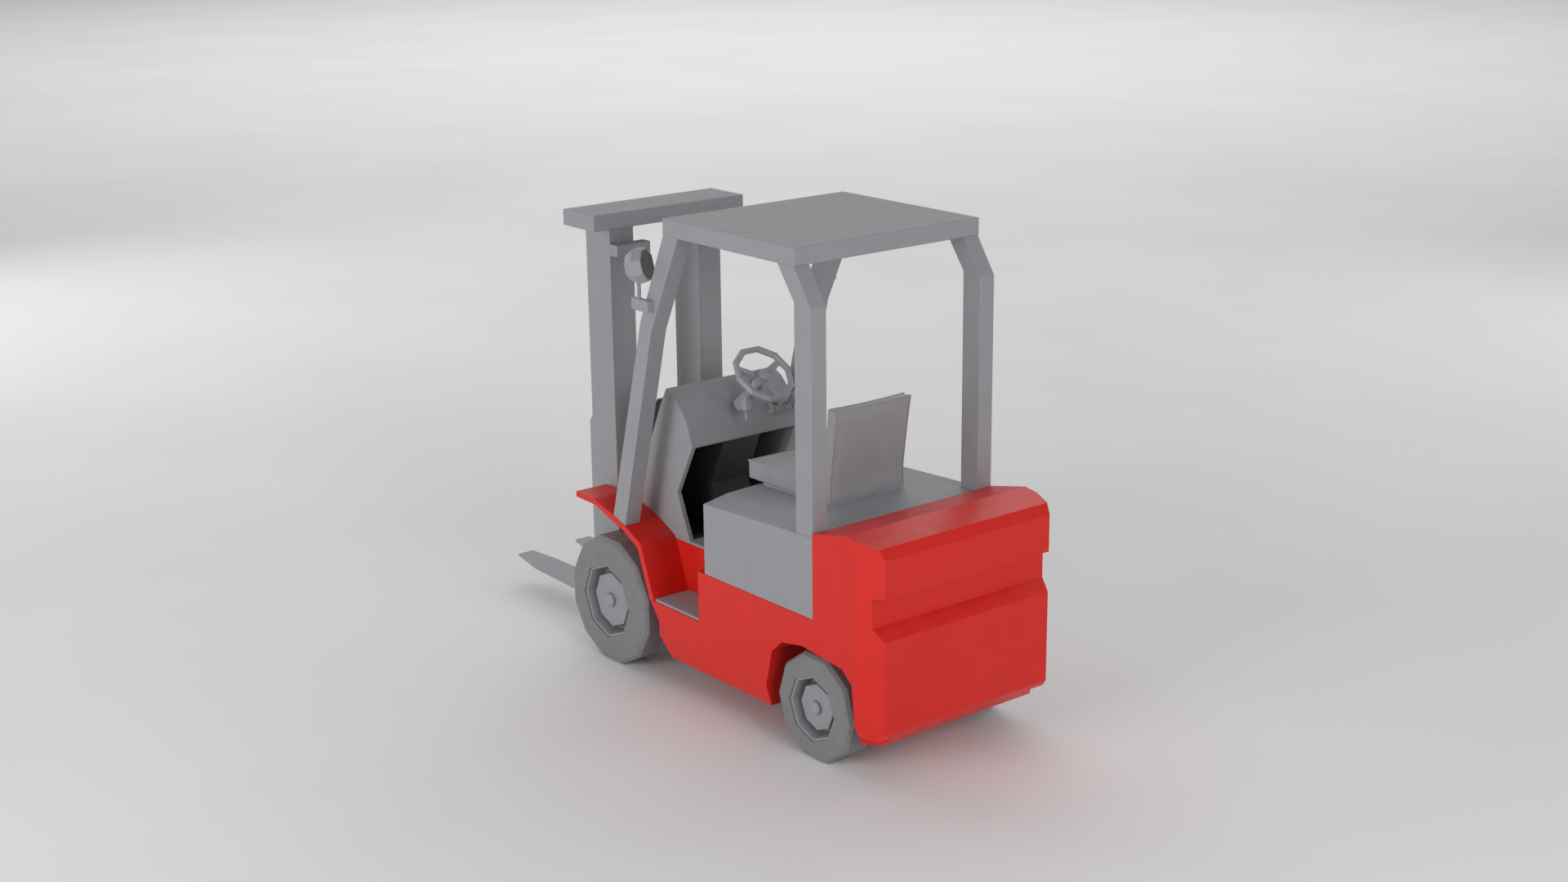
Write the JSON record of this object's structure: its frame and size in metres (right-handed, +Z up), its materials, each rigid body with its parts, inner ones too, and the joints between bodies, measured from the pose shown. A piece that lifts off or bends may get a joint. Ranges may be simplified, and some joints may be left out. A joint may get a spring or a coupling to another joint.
{
  "type": "toy forklift truck",
  "caption": "Toy counterbalance forklift with overhead guard, driver seat, tilting mast, sliding fork carriage, steered rear wheels and turning controls.",
  "frame": {"origin": "middle of the footprint on the ground, under the truck", "axes": "forks point along -Y, the driver's left is +X, +Z is up"},
  "size_m": [0.098, 0.2608, 0.1803],
  "materials": {
    "red_plastic": "smooth moulded plastic, soft gloss",
    "grey_plastic": "smooth moulded plastic, satin",
    "black_plastic": "matt moulded plastic",
    "dark_plastic": "matt moulded plastic",
    "frame_plastic": "matt moulded plastic",
    "tyre_rubber": "dull grey rubber",
    "seat_vinyl": "thin vinyl over foam, finely grained",
    "pin_steel": "turned steel pin",
    "mirror_face": "smooth polished dark plastic face"
  },
  "bodies": {
    "truck": {"battery_hood": "grey_plastic", "body_side_left": "red_plastic", "body_side_right": "red_plastic", "cab_floor": "grey_plastic", "chassis_frame": "frame_plastic", "column_cover": "dark_plastic", "counterweight": "red_plastic", "cowl": "grey_plastic", "footwell_liner": "black_plastic", "front_axle": "pin_steel", "front_fender_left": "red_plastic", "front_fender_right": "red_plastic", "front_pillar_left": "grey_plastic", "front_pillar_right": "grey_plastic", "lever_rack": "grey_plastic", "mast_pin": "pin_steel", "mirror_bracket_left": "grey_plastic", "mirror_bracket_right": "grey_plastic", "rear_axle_beam": "frame_plastic", "rear_post_left": "grey_plastic", "rear_post_right": "grey_plastic", "roof_panel": "grey_plastic", "seat_backrest": "seat_vinyl", "seat_base": "grey_plastic", "seat_cushion": "seat_vinyl", "steering_column": "grey_plastic", "step_plate_left": "grey_plastic", "step_plate_right": "grey_plastic"},
    "front_wheel_left": {"front_tyre_left": "tyre_rubber", "front_rim_left": "grey_plastic", "front_hub_cap_left": "grey_plastic"},
    "rear_wheel_left": {"rear_tyre_left": "tyre_rubber", "rear_rim_left": "grey_plastic", "rear_hub_cap_left": "grey_plastic"},
    "rear_knuckle_left": {"knuckle_left": "frame_plastic"},
    "mirror_left": {"mirror_head_left": "grey_plastic", "mirror_glass_left": "mirror_face"},
    "fork_arm_left": {"fork_left": "grey_plastic"},
    "front_wheel_right": {"front_tyre_right": "tyre_rubber", "front_rim_right": "grey_plastic", "front_hub_cap_right": "grey_plastic"},
    "rear_wheel_right": {"rear_tyre_right": "tyre_rubber", "rear_rim_right": "grey_plastic", "rear_hub_cap_right": "grey_plastic"},
    "rear_knuckle_right": {"knuckle_right": "frame_plastic"},
    "mirror_right": {"mirror_head_right": "grey_plastic", "mirror_glass_right": "mirror_face"},
    "fork_arm_right": {"fork_right": "grey_plastic"},
    "steering": {"steering_wheel": "grey_plastic", "steering_cap": "grey_plastic"},
    "direction_lever": {"direction_stalk": "grey_plastic"},
    "lever_1": {"hydraulic_lever_1": "grey_plastic"},
    "lever_2": {"hydraulic_lever_2": "grey_plastic"},
    "lever_3": {"hydraulic_lever_3": "grey_plastic"},
    "mast": {"mast_upright_left": "grey_plastic", "mast_upright_right": "grey_plastic", "mast_crossbeam": "grey_plastic", "mast_tie_bars": "grey_plastic"},
    "lift_carriage": {"carriage": "grey_plastic"},
    "track_rod": {"tie_rod": "frame_plastic"}
  },
  "joints": [
    {"name": "front_wheel_left_spin", "type": "hinge", "parent": "truck", "child": "front_wheel_left", "pos_m": [0.035, -0.02665, 0.02492], "axis": [1, 0, 0], "continuous": true},
    {"name": "rear_left_steer", "type": "hinge", "parent": "truck", "child": "rear_knuckle_left", "pos_m": [0.0254, 0.09585, 0.01921], "axis": [0, 0, 1], "range_deg": [-15, 15]},
    {"name": "rear_wheel_left_spin", "type": "hinge", "parent": "rear_knuckle_left", "child": "rear_wheel_left", "pos_m": [0.035, 0.09585, 0.01921], "axis": [1, 0, 0], "continuous": true},
    {"name": "mirror_left_turn", "type": "hinge", "parent": "truck", "child": "mirror_left", "pos_m": [0.0432, 0.00165, 0.152], "axis": [0, 0, 1], "range_deg": [-20, 20]},
    {"name": "front_wheel_right_spin", "type": "hinge", "parent": "truck", "child": "front_wheel_right", "pos_m": [-0.035, -0.02665, 0.02492], "axis": [1, 0, 0], "continuous": true},
    {"name": "rear_right_steer", "type": "hinge", "parent": "truck", "child": "rear_knuckle_right", "pos_m": [-0.0254, 0.09585, 0.01921], "axis": [0, 0, 1], "range_deg": [-15, 15]},
    {"name": "rear_wheel_right_spin", "type": "hinge", "parent": "rear_knuckle_right", "child": "rear_wheel_right", "pos_m": [-0.035, 0.09585, 0.01921], "axis": [1, 0, 0], "continuous": true},
    {"name": "mirror_right_turn", "type": "hinge", "parent": "truck", "child": "mirror_right", "pos_m": [-0.0432, 0.00165, 0.152], "axis": [0, 0, 1], "range_deg": [-20, 20]},
    {"name": "track_rod_slide", "type": "slide", "parent": "truck", "child": "track_rod", "axis": [1, 0, 0], "range_m": [-0.0022, 0.0022]},
    {"name": "steering_wheel_turn", "type": "hinge", "parent": "truck", "child": "steering", "pos_m": [0, 0.01895, 0.1172], "axis": [0, 0.682, 0.7314], "range_deg": [-120, 120]},
    {"name": "direction_lever_turn", "type": "hinge", "parent": "truck", "child": "direction_lever", "pos_m": [0, 0.01308, 0.11091], "axis": [0, 0.682, 0.7314], "range_deg": [-15, 15]},
    {"name": "lever_1_turn", "type": "hinge", "parent": "truck", "child": "lever_1", "pos_m": [-0.0146, 0.00835, 0.099], "axis": [1, 0, 0], "range_deg": [-12, 12]},
    {"name": "lever_2_turn", "type": "hinge", "parent": "truck", "child": "lever_2", "pos_m": [-0.0188, 0.00835, 0.099], "axis": [1, 0, 0], "range_deg": [-12, 12]},
    {"name": "lever_3_turn", "type": "hinge", "parent": "truck", "child": "lever_3", "pos_m": [-0.023, 0.00835, 0.099], "axis": [1, 0, 0], "range_deg": [-12, 12]},
    {"name": "mast_tilt", "type": "hinge", "parent": "truck", "child": "mast", "pos_m": [0, -0.03565, 0.018], "axis": [1, 0, 0], "range_deg": [-5, 2]},
    {"name": "carriage_lift", "type": "slide", "parent": "mast", "child": "lift_carriage", "axis": [0, 0, 1], "range_m": [-0.004, 0.078]},
    {"name": "fork_left_shift", "type": "slide", "parent": "lift_carriage", "child": "fork_arm_left", "axis": [1, 0, 0], "range_m": [-0.004, 0.0018]},
    {"name": "fork_right_shift", "type": "slide", "parent": "lift_carriage", "child": "fork_arm_right", "axis": [1, 0, 0], "range_m": [-0.0018, 0.004]}
  ],
  "couplings": [
    {"joint": "rear_right_steer", "follows": "rear_left_steer", "ratio": 1},
    {"joint": "track_rod_slide", "follows": "rear_left_steer", "m_per_rad": 0.008}
  ]
}
